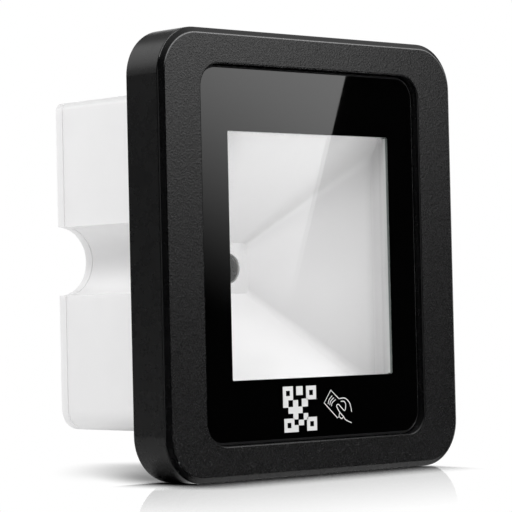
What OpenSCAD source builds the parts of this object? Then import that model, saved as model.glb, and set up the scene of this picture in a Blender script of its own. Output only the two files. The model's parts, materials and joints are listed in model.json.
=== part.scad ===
// Fixed code reader for panel or wall-box mounting, with a card antenna round its window.
// Millimetres. The front faces -Y, +Z is up, and the origin is the middle of the bezel's rear face,
// which is the face that seats on the panel.
// Every piece is drawn lying on its back, with the panel seat at z = 0 and the front at the top,
// and stand() turns it upright.

/* [Bezel] */
// Overall width of the bezel
bezel_w = 91; // [88:1:100]
// Overall height of the bezel
bezel_h = 100; // [98:1:110]
// Thickness of the bezel from the panel seat to the front face
bezel_t = 11.7; // [11:0.1:14]
// Radius of the outer corners
bezel_r = 10.6; // [8:0.1:13]
// Width of the polished chamfer, across the front
chamfer_in = 1.3; // [0.6:0.1:2]
// Depth of the polished chamfer, down the side
chamfer_deep = 0.9; // [0.5:0.1:2]
// Rounding of the two edges of the chamfer
chamfer_round = 0.6; // [0.2:0.1:0.8]
// Rounding of the other moulded edges
edge_round = 0.3; // [0.15:0.05:0.4]
// Width of the rim that seats on the panel
rim_w = 5; // [4:0.1:5.5]
// Thickness of the ledge that carries the front plate
ledge_t = 2.2; // [1.6:0.1:2.6]

/* [Front plate] */
// Width of the recess in the front face
recess_w = 67.8; // [64:0.1:70]
// Height of the recess in the front face
recess_h = 84.4; // [78:0.1:86]
// Corner radius of the recess
recess_r = 5.6; // [4:0.1:8]
// Depth of the plate's face below the front face
glass_setback = 1.65; // [1:0.05:2]
// Thickness of the plate and of its clear window
glass_t = 1.5; // [1:0.1:2]
// Gap between the plate and the recess wall
glass_gap = 0.2; // [0.1:0.05:0.4]
// Width of the bevel on the edge of the plate
bevel_in = 0.55; // [0.3:0.05:0.8]
// Depth of the bevel on the edge of the plate
bevel_deep = 0.45; // [0.3:0.05:0.8]
// Width of the clear window
window_w = 50; // [44:0.5:51]
// Height of the clear window
window_h = 55.5; // [48:0.5:57]
// Height of the window's middle above the bezel's middle
window_z = -0.2; // [-2:0.1:2]
// Thickness of the adhesive frame under the plate
tape_t = 0.5; // [0.3:0.1:0.8]

/* [Light funnel] */
// Depth of the funnel from the window to its end wall
funnel_depth = 27.6; // [24:0.1:29]
// Wall of the funnel
funnel_wall = 1.3; // [1:0.1:1.6]
// Thickness of the funnel's flange
funnel_flange_t = 1.5; // [1:0.1:2]
// Height of the lens axis above the bezel's middle
lens_z = -2.3; // [-4:0.1:2]
// Radius of the hole for the lens
lens_hole_r = 3.6; // [3.5:0.1:4.5]
// Half size of the square end wall
funnel_end = 6; // [5.5:0.1:7]
// Depth of the upright part of the side and bottom walls
side_straight = 4.8; // [2:0.1:6]
// Depth of the upright part of the top wall
top_straight = 0.5; // [0.2:0.1:4]

/* [Housing] */
// Width of the housing
housing_w = 70; // [68:1:74]
// Height of the housing's top above the bezel's middle
housing_top = 37; // [36:0.5:40]
// Depth of the housing's bottom below the bezel's middle
housing_bottom = 39.3; // [38:0.1:41]
// Distance from the panel seat to the back of the cover
housing_depth = 39.1; // [38:0.1:46]
// Wall of the housing
housing_wall = 2.2; // [1.8:0.1:2.6]
// Corner radius at the top
top_r = 1.8; // [1.2:0.1:3]
// Corner radius at the bottom
bottom_r = 5; // [4:0.1:6]
// Radius of the half-round channel in each side
channel_r = 8; // [7:0.1:8.6]
// Thickness of the rear cover
cover_t = 2.6; // [2.2:0.1:3.2]
// Chamfer that forms the seam between the cover and the housing
seam = 0.25; // [0.1:0.05:0.4]

/* [Boards] */
// Thickness of the main circuit board
main_board_t = 1.6; // [1:0.2:1.6]
// Height of the posts between the cover and the main board
post_h = 5; // [4:0.1:5.4]
// Width of the camera board
camera_board_w = 44; // [40:1:46]
// Height of the camera board
camera_board_h = 32; // [28:1:34]
// Thickness of the camera board
camera_board_t = 1.2; // [0.8:0.2:1.2]
// Distance from the funnel's end wall to the camera board
camera_gap = 4.9; // [4.5:0.1:5]
// Thickness of the antenna board
antenna_t = 1; // [0.8:0.1:1.2]

/* [Fixings] */
// Thread bore radius of the brass fixing inserts
insert_bore_r = 1.65; // [1.2:0.05:2]
// Outer radius of the brass fixing inserts
insert_r = 2.8; // [2.4:0.1:3]
// Length of the brass fixing inserts
insert_l = 6; // [4:0.5:6.5]

/* [Hidden] */
$fn = 96;

// Clearances
fit = 0.3;
slide_fit = 0.05;
// Overshoot of a cut past the face it opens
past = 1;

// Heights of the stack behind the front face, with the panel seat at zero
glass_front = bezel_t - glass_setback;
glass_back = glass_front - glass_t;
ledge_front = glass_back - tape_t;
ledge_back = ledge_front - ledge_t;
flange_back = ledge_back - funnel_flange_t;
antenna_back = flange_back - antenna_t;
// Size of the plate in its recess
glass_w = recess_w - 2 * glass_gap;
glass_h = recess_h - 2 * glass_gap;
glass_r = recess_r - glass_gap;
window_r = 0.3;
// The housing's flange stops short of the panel seat
seat_clear = 0.35;

// Funnel opening, from the window and the margins that the mask hides
funnel_side_margin = 0.5;
funnel_bottom_margin = 4;
funnel_x = window_w / 2 + funnel_side_margin;
funnel_top = window_z + window_h / 2 + funnel_side_margin;
funnel_bottom = window_z - window_h / 2 - funnel_bottom_margin;
funnel_corner_r = 3;
funnel_mouth_r = 3;
funnel_end_r = 1.2;
funnel_flange_w = 2.6;
funnel_end_z = glass_back - funnel_depth;
end_wall_t = 1.5;
// A wall that leans inwards is thicker across than through
lean = 1.32;
throat_gap = 0.4;
// Overlap of two layers that are joined into one solid
thin = 0.01;

// Pocket behind the bezel, and the screws in its corners
pocket_w = bezel_w - 2 * rim_w;
pocket_h = bezel_h - 2 * rim_w;
pocket_corner_grow = 0.4;
pocket_r = bezel_r - rim_w + pocket_corner_grow;
boss_inset = 4.2;
boss_r = 3.2;
boss_x = pocket_w / 2 - boss_inset;
boss_z = pocket_h / 2 - boss_inset;

// Bosses for the fixing inserts stand on the axes of the side channels
fixing_x = housing_w / 2;
fixing_boss_wall = 1.1;
fixing_boss_r = insert_r + fixing_boss_wall;

// Housing and cover
cover_front = -housing_depth + cover_t;
channel_wall_r = channel_r + housing_wall;
// Part of the flange that closes the channels towards the funnel, and its width beside them
channel_floor_t = 1;
channel_web = 0.8;
corner_boss_r = 3;
corner_boss_inset = 2;
corner_boss_lift = 2.8;
corner_boss_x = housing_w / 2 - housing_wall - corner_boss_inset;
corner_boss_top = housing_top - housing_wall - corner_boss_inset;
corner_boss_bottom = -housing_bottom + housing_wall + corner_boss_lift;
corner_boss_l = 14;
lip_t = 1.2;
lip_h = 2;
// Smallest corner radius left when the outline is drawn smaller
least_r = 0.4;
// Depth of the cover screws' heads below the cover's face
head_sink = 0.2;
// Opening in the flange above the funnel, for the antenna lead
lead_opening_h = 6;
lead_opening_inset = 1.2;

// Camera stack behind the end wall
camera_front = funnel_end_z - end_wall_t - camera_gap;
camera_back = camera_front - camera_board_t;
camera_post_x = 10;
camera_post_r = 2.2;
barrel_r = lens_hole_r - fit;
barrel_wall = 0.8;
barrel_setback = 0.4;
barrel_lift = 1.5;
barrel_front = funnel_end_z - barrel_setback;
barrel_back = camera_front + barrel_lift;
front_lens_inset = 0.95;
rear_lens_inset = 0.1;
lens_r = barrel_r - barrel_wall - slide_fit;
holder_size = 11;
sensor_w = 6.2;
sensor_h = 5.2;
sensor_t = 0.9;
emitter_x = 17;
emitter_z = 11;
emitter_w = 3.5;
emitter_h = 2.8;
emitter_t = 0.7;
emitter_dome_r = 1.2;
camera_board_r = 1.5;
connector_lift = 9;
connector_w = 14;
connector_h = 4.2;
connector_r = 0.5;

// Main board on the posts of the cover
main_back = cover_front + post_h;
main_front = main_back + main_board_t;
main_board_w = 58;
main_board_gap = 2.6;
main_board_top = housing_top - housing_wall - main_board_gap;
main_board_bottom = -housing_bottom + housing_wall + main_board_gap;
post_x = 23.5;
post_inset = 7;
post_z_top = main_board_top - post_inset;
post_z_bottom = main_board_bottom + post_inset;
post_r = 2.5;
main_board_r = 2;
board_clear = 0.7;
// Chips on the main board: middle across, middle up, side, height
processor = [8, -19, 12, 1.4];
memory = [-10, -19, 8, 1.1];
// Middle of the inductor and of the sounder, measured down from the upper posts
inductor_x = -12;
inductor_drop = 2;
buzzer_x = 6;
buzzer_drop = 4;

// Antenna board and its copper winding
antenna_reach = 1.2;
antenna_w = 2 * (boss_x - boss_r + antenna_reach);
antenna_h = 2 * (boss_z - boss_r + antenna_reach);
antenna_r = 3;
coil_w = 0.8;
coil_t = 0.5;
coil_gap = 0.2;
lead_from_side = 5.5;
lead_x = funnel_x - lead_from_side;
lead_w = 2.6;
lead_t = 0.9;
lead_inset = 2.4;

// Interface socket in the cover
socket_w = 25;
socket_h = 8.6;
socket_wall = 0.9;
socket_floor = 1.4;
socket_z = -20;
socket_recess = 0.4;
socket_r = 0.4;
pin_count = 8;
pin_pitch = 2.54;
pin_size = 0.64;

// Screw sizes: shank radius, shank length, head radius, head height
housing_screw = [1.2, 6.4, 2.4, 1.6];
cover_screw = [1.2, 7.5, 2.4, 1.5];
board_screw = [0.9, 4, 1.9, 1.2];
camera_screw = [0.9, 4.2, 1.8, 1.2];

// Helpers

// Turns a piece that was drawn lying on its back upright, facing -Y
module stand() {
    rotate([90, 0, 0]) children();
}

// A layer of a flat outline between two heights
module layer(z0, z1) {
    translate([0, 0, z0]) linear_extrude(z1 - z0) children();
}

// Rectangle with round corners, middle at the origin
module round_rect(w, h, r) {
    square([w - 2 * r, h], center = true);
    square([w, h - 2 * r], center = true);
    for (x = [-1, 1], y = [-1, 1])
        translate([x * (w / 2 - r), y * (h / 2 - r)]) circle(r);
}

// Points of an arc, for a rounded edge in a profile
function arc(cx, cy, r, from, to, steps = 4) =
    [for (i = [0 : steps]) let (a = from + (to - from) * i / steps) [cx + r * cos(a), cy + r * sin(a)]];

// Points of a rounded corner at b, between the straight edges from a and to c
function corner(a, b, c, r, steps = 4) =
    let (
        u = (a - b) / norm(a - b),
        v = (c - b) / norm(c - b),
        half = acos(u * v) / 2,
        middle = b + (u + v) / norm(u + v) * r / sin(half),
        start = b + u * r / tan(half) - middle,
        turn = sign(cross(u, v)) * (180 - 2 * half)
    )
    [for (i = [0 : steps]) let (t = -turn * i / steps)
        middle + [start[0] * cos(t) - start[1] * sin(t), start[0] * sin(t) + start[1] * cos(t)]];

// Block with a rounded rectangular plan whose edge follows a profile. The profile is drawn with its
// x measured outwards from the middle of the corner arcs and its y upwards, and its solid
// core runs from height z0 to z1.
module profiled_block(w, h, r, z0, z1) {
    a = w / 2 - r;
    b = h / 2 - r;
    layer(z0, z1) square([2 * a, 2 * b], center = true);
    for (s = [-1, 1]) {
        translate([s * a, 0, 0]) rotate([90, 0, 90 - 90 * s])
            linear_extrude(2 * b, center = true) children();
        translate([0, s * b, 0]) rotate([90, 0, 90 * s])
            linear_extrude(2 * a, center = true) children();
    }
    for (i = [0 : 3])
        translate([(i == 0 || i == 3 ? a : -a), (i < 2 ? b : -b), 0])
            rotate([0, 0, 90 * i]) rotate_extrude(angle = 90) children();
}

// Outline of the housing, drawn smaller by an inset all round
module housing_outline(inset = 0) {
    w = housing_w / 2 - inset;
    t = housing_top - inset;
    b = housing_bottom - inset;
    rt = max(top_r - inset, least_r);
    rb = max(bottom_r - inset, least_r);
    translate([-w + rt, -b + rb]) square([2 * (w - rt), t + b - rb]);
    translate([-w, -b + rb]) square([2 * w, t + b - rt - rb]);
    translate([-w + rb, -b]) square([2 * (w - rb), rb]);
    for (s = [-1, 1]) {
        translate([s * (w - rt), t - rt]) circle(rt);
        translate([s * (w - rb), -b + rb]) circle(rb);
    }
}

// Round spots at the middle of the two side channels
module channel_spots(r) {
    for (s = [-1, 1]) translate([s * housing_w / 2, 0]) circle(r);
}

// Places of the four screws between the housing and the bezel
module at_bezel_bosses() {
    for (x = [-1, 1], y = [-1, 1]) translate([x * boss_x, y * boss_z, 0]) children();
}

// Places of the two fixing inserts
module at_fixings() {
    for (s = [-1, 1]) translate([s * fixing_x, 0, 0]) children();
}

// Places of the four cover screws
module at_corner_bosses() {
    for (x = [-1, 1], y = [corner_boss_top, corner_boss_bottom])
        translate([x * corner_boss_x, y, 0]) children();
}

// Places of the four posts that carry the main board
module at_board_posts() {
    for (x = [-1, 1], y = [post_z_top, post_z_bottom]) translate([x * post_x, y, 0]) children();
}

// Places of the two posts that carry the camera board
module at_camera_posts() {
    for (s = [-1, 1]) translate([s * camera_post_x, lens_z, 0]) children();
}

// Round-headed screw with a cross recess, head up, with its seat at z = 0
module screw(size) {
    shank_r = size[0];
    shank_l = size[1];
    head_r = size[2];
    head_h = size[3];
    tip = 0.6 * shank_r;
    dome = 0.45 * head_h;
    slot_l = 1.2 * head_r;
    slot_w = 0.26 * head_r;
    slot_deep = 0.55 * head_h;
    difference() {
        rotate_extrude()
            polygon([
                [0, -shank_l], [shank_r - tip, -shank_l], [shank_r, -shank_l + tip], [shank_r, 0],
                [head_r, 0], [head_r, head_h - dome], [head_r - dome, head_h], [0, head_h]
            ]);
        for (a = [0, 90])
            rotate([0, 0, a]) translate([-slot_l / 2, -slot_w / 2, head_h - slot_deep])
                cube([slot_l, slot_w, head_h]);
    }
}

// Sub-parts

// Outline of the funnel's opening at the glass
module funnel_rim(grow = 0) {
    translate([0, (funnel_top + funnel_bottom) / 2])
        round_rect(2 * (funnel_x + grow), funnel_top - funnel_bottom + 2 * grow, funnel_corner_r + grow);
}

// Moulded frame: chamfered outside, stepped recess for the glass, throat for the funnel,
// pocket for the housing's flange behind, and the screw bosses
module front_bezel() {
    boss_l = ledge_back - antenna_back + past;
    side_foot = [bezel_r, edge_round];
    side_top = [bezel_r, bezel_t - chamfer_deep];
    face_edge = [bezel_r - chamfer_in, bezel_t];
    face_middle = [0, bezel_t];
    color([0.13, 0.13, 0.14]) stand() difference() {
        union() {
            difference() {
                profiled_block(bezel_w, bezel_h, bezel_r, 0, bezel_t)
                    polygon(concat(
                        [[0, 0]],
                        arc(bezel_r - edge_round, edge_round, edge_round, -90, 0),
                        corner(side_foot, side_top, face_edge, chamfer_round),
                        corner(side_top, face_edge, face_middle, chamfer_round),
                        [face_middle]
                    ));
                layer(-past, ledge_back) round_rect(pocket_w, pocket_h, pocket_r);
            }
            at_bezel_bosses() translate([0, 0, antenna_back]) cylinder(r = boss_r, h = boss_l);
            at_fixings() cylinder(r = fixing_boss_r, h = ledge_back + past);
        }
        profiled_block(recess_w, recess_h, recess_r, ledge_front, bezel_t + past)
            polygon(concat(
                [[0, ledge_front], [recess_r, ledge_front]],
                arc(recess_r + edge_round, bezel_t - edge_round, edge_round, 180, 90),
                [[recess_r + edge_round, bezel_t + past], [0, bezel_t + past]]
            ));
        layer(ledge_back - past, ledge_front + past) funnel_rim(funnel_wall + throat_gap);
        at_bezel_bosses() translate([0, 0, antenna_back - past])
            cylinder(r = housing_screw[0] + slide_fit, h = housing_screw[1] + past);
        at_fixings() translate([0, 0, -past]) cylinder(r = insert_r + slide_fit, h = insert_l + fit + past);
    }
}

// Clear window, let into the opening of the front plate and level with its face
module window_glass() {
    color([0.75, 0.85, 0.82, 0.35]) stand() layer(glass_back, glass_front) translate([0, window_z])
        round_rect(window_w - 2 * slide_fit, window_h - 2 * slide_fit, window_r);
}

// Black front plate with a bevelled edge and the opening for the window
module window_mask() {
    color([0.02, 0.02, 0.02]) stand() difference() {
        profiled_block(glass_w, glass_h, glass_r, glass_back, glass_front)
            polygon([
                [0, glass_back], [glass_r, glass_back], [glass_r, glass_front - bevel_deep],
                [glass_r - bevel_in, glass_front], [0, glass_front]
            ]);
        layer(glass_back - past, glass_front + past) translate([0, window_z])
            round_rect(window_w, window_h, window_r + slide_fit);
    }
}

// Adhesive frame between the front plate and the ledge
module glass_tape() {
    tape_inset = 0.5;
    color([0.05, 0.05, 0.05]) stand() layer(ledge_front, glass_back) difference() {
        round_rect(glass_w - 2 * tape_inset, glass_h - 2 * tape_inset, glass_r - tape_inset);
        funnel_rim(funnel_wall + throat_gap);
    }
}

// Leaning part of the funnel: from the end wall out to where the leaning walls would meet the glass
module funnel_cone(grow) {
    side_reach = funnel_depth / (funnel_depth - side_straight);
    top_reach = funnel_depth / (funnel_depth - top_straight);
    half_w = funnel_end + (funnel_x - funnel_end) * side_reach + grow;
    reach_top = lens_z + funnel_end + (funnel_top - lens_z - funnel_end) * top_reach + grow;
    reach_bottom = lens_z - funnel_end + (funnel_bottom - lens_z + funnel_end) * side_reach - grow;
    end_size = 2 * (funnel_end + grow);
    end_r = funnel_end_r + grow;
    mouth_r = funnel_mouth_r + grow;
    hull() {
        translate([0, lens_z, funnel_end_z])
            linear_extrude(thin) round_rect(end_size, end_size, end_r, $fn = 48);
        translate([0, (reach_top + reach_bottom) / 2, glass_back - thin])
            linear_extrude(thin) round_rect(2 * half_w, reach_top - reach_bottom, mouth_r, $fn = 48);
    }
}

// White moulded funnel: upright mouth, leaning walls, end wall with the lens hole,
// flange that lies on the back of the ledge, and two posts for the camera board
module light_funnel() {
    lean_wall = funnel_wall * lean;
    end_size = 2 * (funnel_end + lean_wall);
    post_root = 3;
    color([0.95, 0.95, 0.95]) stand() difference() {
        union() {
            intersection() {
                layer(funnel_end_z, glass_back) funnel_rim(funnel_wall);
                funnel_cone(lean_wall);
            }
            layer(flange_back, ledge_back) difference() {
                funnel_rim(funnel_wall + funnel_flange_w);
                at_fixings() circle(fixing_boss_r + fit + coil_w + coil_gap);
            }
            layer(funnel_end_z - end_wall_t, funnel_end_z) translate([0, lens_z])
                round_rect(end_size, end_size, funnel_end_r + lean_wall);
            at_camera_posts() translate([0, 0, camera_front])
                cylinder(r = camera_post_r, h = funnel_end_z - camera_front + post_root);
        }
        intersection() {
            layer(funnel_end_z, glass_back + past) funnel_rim();
            union() {
                funnel_cone(0);
                layer(glass_back - thin, glass_back + past) funnel_rim();
            }
        }
        translate([0, lens_z, funnel_end_z - end_wall_t - past])
            cylinder(r = lens_hole_r, h = end_wall_t + 2 * past);
        at_camera_posts() translate([0, 0, camera_front - past])
            cylinder(r = camera_screw[0] + slide_fit, h = camera_screw[1] - camera_board_t + fit + past);
    }
}

// Outline of the antenna board: a frame round the funnel that clears the fixing bosses
module antenna_outline() {
    difference() {
        round_rect(antenna_w, antenna_h, antenna_r);
        funnel_rim(funnel_wall + throat_gap);
        at_fixings() circle(fixing_boss_r + fit);
    }
}

module antenna_board() {
    color([0.1, 0.35, 0.2]) stand() layer(antenna_back, flange_back) antenna_outline();
}

// One edge of the winding, which passes round the fixing bosses
module coil_edge(grow) {
    difference() {
        funnel_rim(funnel_wall + funnel_flange_w + coil_gap + grow);
        at_fixings() circle(fixing_boss_r + fit + coil_w - grow);
    }
}

// Copper winding on the front of the antenna board, outside the funnel's flange
module antenna_coil() {
    color([0.75, 0.45, 0.2]) stand() layer(flange_back, flange_back + coil_t) difference() {
        coil_edge(coil_w);
        coil_edge(0);
    }
}

// Flat two-core lead from the antenna board to the main board
module antenna_lead() {
    top = housing_top - housing_wall - lead_inset;
    color([0.85, 0.85, 0.85]) stand() layer(main_front, antenna_back)
        translate([lead_x, top]) square([lead_w, lead_t], center = true);
}

// White box with a flange at the front, a half-round channel along each side,
// and bosses in the corners for the cover screws
module main_housing() {
    flange_w = pocket_w - 2 * fit;
    flange_h = pocket_h - 2 * fit;
    head_depth = housing_screw[3] + fit;
    opening_z = housing_top - housing_wall - lead_opening_inset - lead_opening_h / 2;
    color([0.93, 0.93, 0.93]) stand() difference() {
        union() {
            layer(seat_clear, antenna_back) round_rect(flange_w, flange_h, pocket_r - fit);
            difference() {
                layer(cover_front, seat_clear) housing_outline();
                layer(cover_front - past, seat_clear) difference() {
                    housing_outline(housing_wall);
                    channel_spots(channel_wall_r);
                }
            }
            at_corner_bosses() translate([0, 0, cover_front])
                cylinder(r = corner_boss_r, h = corner_boss_l);
        }
        layer(cover_front - past, seat_clear) channel_spots(channel_r);
        layer(seat_clear - past, antenna_back + past) {
            difference() {
                funnel_rim(funnel_wall + throat_gap);
                channel_spots(channel_r + channel_web);
            }
            translate([0, opening_z]) square([2 * funnel_x, lead_opening_h], center = true);
        }
        layer(seat_clear + channel_floor_t, antenna_back + past) funnel_rim(funnel_wall + throat_gap);
        at_fixings() translate([0, 0, seat_clear - past])
            cylinder(r = fixing_boss_r + fit, h = antenna_back - seat_clear + 2 * past);
        at_bezel_bosses() {
            translate([0, 0, seat_clear - past])
                cylinder(r = housing_screw[0] + fit, h = antenna_back - seat_clear + 2 * past);
            translate([0, 0, seat_clear - past])
                cylinder(r = housing_screw[2] + fit, h = head_depth + past);
        }
        at_corner_bosses() translate([0, 0, cover_front - past])
            cylinder(r = cover_screw[0] + slide_fit, h = cover_screw[1] + fit + past);
    }
}

// Plate that closes the housing, with a lip inside its wall, posts for the main board
// and the opening for the interface socket
module rear_cover() {
    head_depth = cover_screw[3] + head_sink;
    color([0.93, 0.93, 0.93]) stand() difference() {
        union() {
            layer(-housing_depth, cover_front - seam) housing_outline();
            layer(cover_front - seam, cover_front) housing_outline(seam);
            layer(cover_front, cover_front + lip_h) difference() {
                housing_outline(housing_wall + fit);
                housing_outline(housing_wall + fit + lip_t);
                channel_spots(channel_wall_r + fit);
                at_corner_bosses() circle(corner_boss_r + fit);
            }
            at_board_posts() translate([0, 0, cover_front]) cylinder(r = post_r, h = post_h);
        }
        layer(-housing_depth - past, cover_front + lip_h + past) channel_spots(channel_r);
        layer(cover_front - seam, cover_front) channel_spots(channel_r + seam);
        layer(-housing_depth - past, cover_front + past) translate([0, socket_z])
            round_rect(socket_w + 2 * fit, socket_h + 2 * fit, socket_r + fit);
        at_corner_bosses() {
            translate([0, 0, -housing_depth - past])
                cylinder(r = cover_screw[0] + fit, h = cover_t + 2 * past);
            translate([0, 0, -housing_depth - past])
                cylinder(r = cover_screw[2] + fit, h = head_depth + past);
        }
        at_board_posts() translate([0, 0, main_back + past - board_screw[1] - fit])
            cylinder(r = board_screw[0] + slide_fit, h = board_screw[1] + fit);
    }
}

// Screws from the back of the flange into the bezel
module housing_screws() {
    seat = seat_clear + housing_screw[3] + fit;
    color("silver") stand() at_bezel_bosses()
        translate([0, 0, seat]) mirror([0, 0, 1]) screw(housing_screw);
}

// Screws from the back of the cover into the housing's corner bosses
module cover_screws() {
    seat = -housing_depth + cover_screw[3] + head_sink;
    color("silver") stand() at_corner_bosses()
        translate([0, 0, seat]) mirror([0, 0, 1]) screw(cover_screw);
}

// Threaded brass inserts for the fixing screws, level with the panel seat
module fixing_inserts() {
    groove = 0.3;
    third = insert_l / 3;
    color([0.8, 0.65, 0.3]) stand() at_fixings() rotate_extrude()
        polygon([
            [insert_bore_r, 0], [insert_r, 0], [insert_r, third], [insert_r - groove, third + groove],
            [insert_r - groove, 2 * third - groove], [insert_r, 2 * third], [insert_r, insert_l],
            [insert_bore_r, insert_l]
        ]);
}

// Black barrel of the camera lens, with a flared lip in front of the glass
module lens_barrel() {
    lip = 0.9;
    flare = 0.5;
    color([0.06, 0.06, 0.06]) stand() translate([0, lens_z, 0]) rotate_extrude()
        polygon([
            [barrel_r - barrel_wall, barrel_back], [barrel_r, barrel_back], [barrel_r, barrel_front],
            [lens_r - flare + lip, barrel_front], [lens_r - flare, barrel_front - lip],
            [barrel_r - barrel_wall, barrel_front - lip]
        ]);
}

// Lens element: a disc with one bulging face
module lens_element(face, up) {
    bulge = 0.5;
    disc = 0.6;
    ball_r = (lens_r * lens_r + bulge * bulge) / (2 * bulge);
    translate([0, lens_z, face]) mirror([0, 0, up ? 0 : 1]) {
        translate([0, 0, -disc - bulge]) cylinder(r = lens_r, h = disc);
        translate([0, 0, -bulge]) intersection() {
            translate([0, 0, bulge - ball_r]) sphere(ball_r);
            cylinder(r = lens_r, h = 2 * bulge);
        }
    }
}

module front_lens() {
    color([0.3, 0.35, 0.45, 0.6]) stand() lens_element(barrel_front - front_lens_inset, true);
}

module rear_lens() {
    color([0.3, 0.35, 0.45, 0.6]) stand() lens_element(barrel_back + rear_lens_inset, false);
}

// Holder that carries the barrel over the image sensor
module lens_holder() {
    holder_front = funnel_end_z - end_wall_t - fit;
    room = 1;
    corner = 1;
    color([0.08, 0.08, 0.08]) stand() translate([0, lens_z, 0]) difference() {
        layer(camera_front, holder_front) round_rect(holder_size, holder_size, corner);
        translate([0, 0, camera_front - past])
            cylinder(r = barrel_r + slide_fit, h = holder_front - camera_front + 2 * past);
        layer(camera_front - past, camera_front + sensor_t + fit)
            square([sensor_w + room, sensor_h + room], center = true);
    }
}

module image_sensor() {
    color([0.2, 0.2, 0.25]) stand() layer(camera_front, camera_front + sensor_t)
        translate([0, lens_z]) square([sensor_w, sensor_h], center = true);
}

// Board behind the funnel with the sensor and the light emitters
module camera_board() {
    color([0.08, 0.3, 0.18]) stand() layer(camera_back, camera_front) difference() {
        translate([0, lens_z]) round_rect(camera_board_w, camera_board_h, camera_board_r);
        at_camera_posts() circle(camera_screw[0] + fit);
    }
}

module camera_screws() {
    color("silver") stand() at_camera_posts()
        translate([0, 0, camera_back]) mirror([0, 0, 1]) screw(camera_screw);
}

// White light emitters that shine through the funnel's walls
module light_emitters() {
    color([0.98, 0.95, 0.8]) stand()
        for (x = [-1, 1], y = [-1, 1]) translate([x * emitter_x, lens_z + y * emitter_z, camera_front]) {
            layer(0, emitter_t) square([emitter_w, emitter_h], center = true);
            translate([0, 0, emitter_t]) intersection() {
                sphere(emitter_dome_r);
                cylinder(r = 2 * emitter_dome_r, h = 2 * emitter_dome_r);
            }
        }
}

// Connector that joins the camera board to the main board
module board_connector() {
    color([0.9, 0.88, 0.8]) stand() layer(main_front, camera_back)
        translate([0, lens_z + connector_lift]) round_rect(connector_w, connector_h, connector_r);
}

// Main board: clears the side channels and the corner bosses
module main_board() {
    color([0.08, 0.3, 0.18]) stand() layer(main_back, main_front) difference() {
        translate([0, (main_board_top + main_board_bottom) / 2])
            round_rect(main_board_w, main_board_top - main_board_bottom, main_board_r);
        channel_spots(channel_wall_r + board_clear);
        at_corner_bosses() circle(corner_boss_r + board_clear);
        at_board_posts() circle(board_screw[0] + fit);
    }
}

module board_screws() {
    color("silver") stand() at_board_posts() translate([0, 0, main_front]) screw(board_screw);
}

// Flat chip package with a dot in one corner
module chip(part) {
    size = part[2];
    t = part[3];
    dot_r = 0.5;
    dot_deep = 0.1;
    dot_inset = 1.2;
    dot_at = size / 2 - dot_inset;
    translate([part[0], part[1], main_front]) difference() {
        layer(0, t) square(size, center = true);
        translate([-dot_at, dot_at, t - dot_deep]) cylinder(r = dot_r, h = past);
    }
}

module processor_chip() {
    color([0.12, 0.12, 0.13]) stand() chip(processor);
}

module memory_chip() {
    color([0.12, 0.12, 0.13]) stand() chip(memory);
}

// Wound inductor of the power supply
module power_inductor() {
    size = 6;
    h = 2.8;
    corner = 1.4;
    dish_r = 1.8;
    dish_deep = 0.4;
    at = [inductor_x, post_z_top - inductor_drop, main_front];
    color([0.35, 0.35, 0.36]) stand() translate(at) difference() {
        layer(0, h) round_rect(size, size, corner);
        translate([0, 0, h - dish_deep]) cylinder(r = dish_r, h = past);
    }
}

// Round sounder on the front of the main board
module buzzer() {
    r = 4.8;
    h = 5.5;
    hole_r = 0.9;
    hole_deep = 1.5;
    at = [buzzer_x, post_z_top - buzzer_drop, main_front];
    color([0.1, 0.1, 0.1]) stand() translate(at) difference() {
        cylinder(r = r, h = h);
        translate([0, 0, h - hole_deep]) cylinder(r = hole_r, h = hole_deep + past);
    }
}

// Shrouded socket on the back of the main board, open to the rear through the cover
module interface_socket() {
    rear = -housing_depth + socket_recess;
    key_w = 6;
    key_deep = 2.4;
    key_h = 4 * socket_wall;
    color([0.92, 0.9, 0.84]) stand() translate([0, socket_z, 0]) difference() {
        layer(rear, main_back) round_rect(socket_w, socket_h, socket_r);
        layer(rear - past, main_back - socket_floor)
            square([socket_w - 2 * socket_wall, socket_h - 2 * socket_wall], center = true);
        layer(rear - past, rear + key_deep) translate([0, socket_h / 2])
            square([key_w, key_h], center = true);
        for (i = [0 : pin_count - 1])
            layer(main_back - socket_floor - past, main_back + past)
                translate([(i - (pin_count - 1) / 2) * pin_pitch, 0])
                    square(pin_size + 2 * slide_fit, center = true);
    }
}

// Square pins of the socket
module socket_pins() {
    pin_l = 5.2;
    color([0.8, 0.75, 0.55]) stand() translate([0, socket_z, 0])
        for (i = [0 : pin_count - 1])
            layer(main_back - pin_l, main_back)
                translate([(i - (pin_count - 1) / 2) * pin_pitch, 0]) square(pin_size, center = true);
}

front_bezel();
window_glass();
window_mask();
glass_tape();
light_funnel();
antenna_board();
antenna_coil();
antenna_lead();
main_housing();
rear_cover();
housing_screws();
cover_screws();
fixing_inserts();
lens_barrel();
front_lens();
rear_lens();
lens_holder();
image_sensor();
camera_board();
camera_screws();
light_emitters();
board_connector();
main_board();
board_screws();
processor_chip();
memory_chip();
power_inductor();
buzzer();
interface_socket();
socket_pins();
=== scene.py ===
"""Looks of a flush-mounted code reader: finishes, printed symbols, studio and camera.

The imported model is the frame, in metres, with the front facing -Y. Its solids keep their shapes and get
procedural finishes. The pieces that the solids leave out are made here: the two symbols printed on the
front plate and the ground edge of the clear window. The threads of the fixing inserts are relief in
their finish. Lengths that end up in a finish or a symbol are in millimetres.
"""
import json
import math

import bmesh
import bpy
from mathutils import Matrix, Vector


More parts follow.
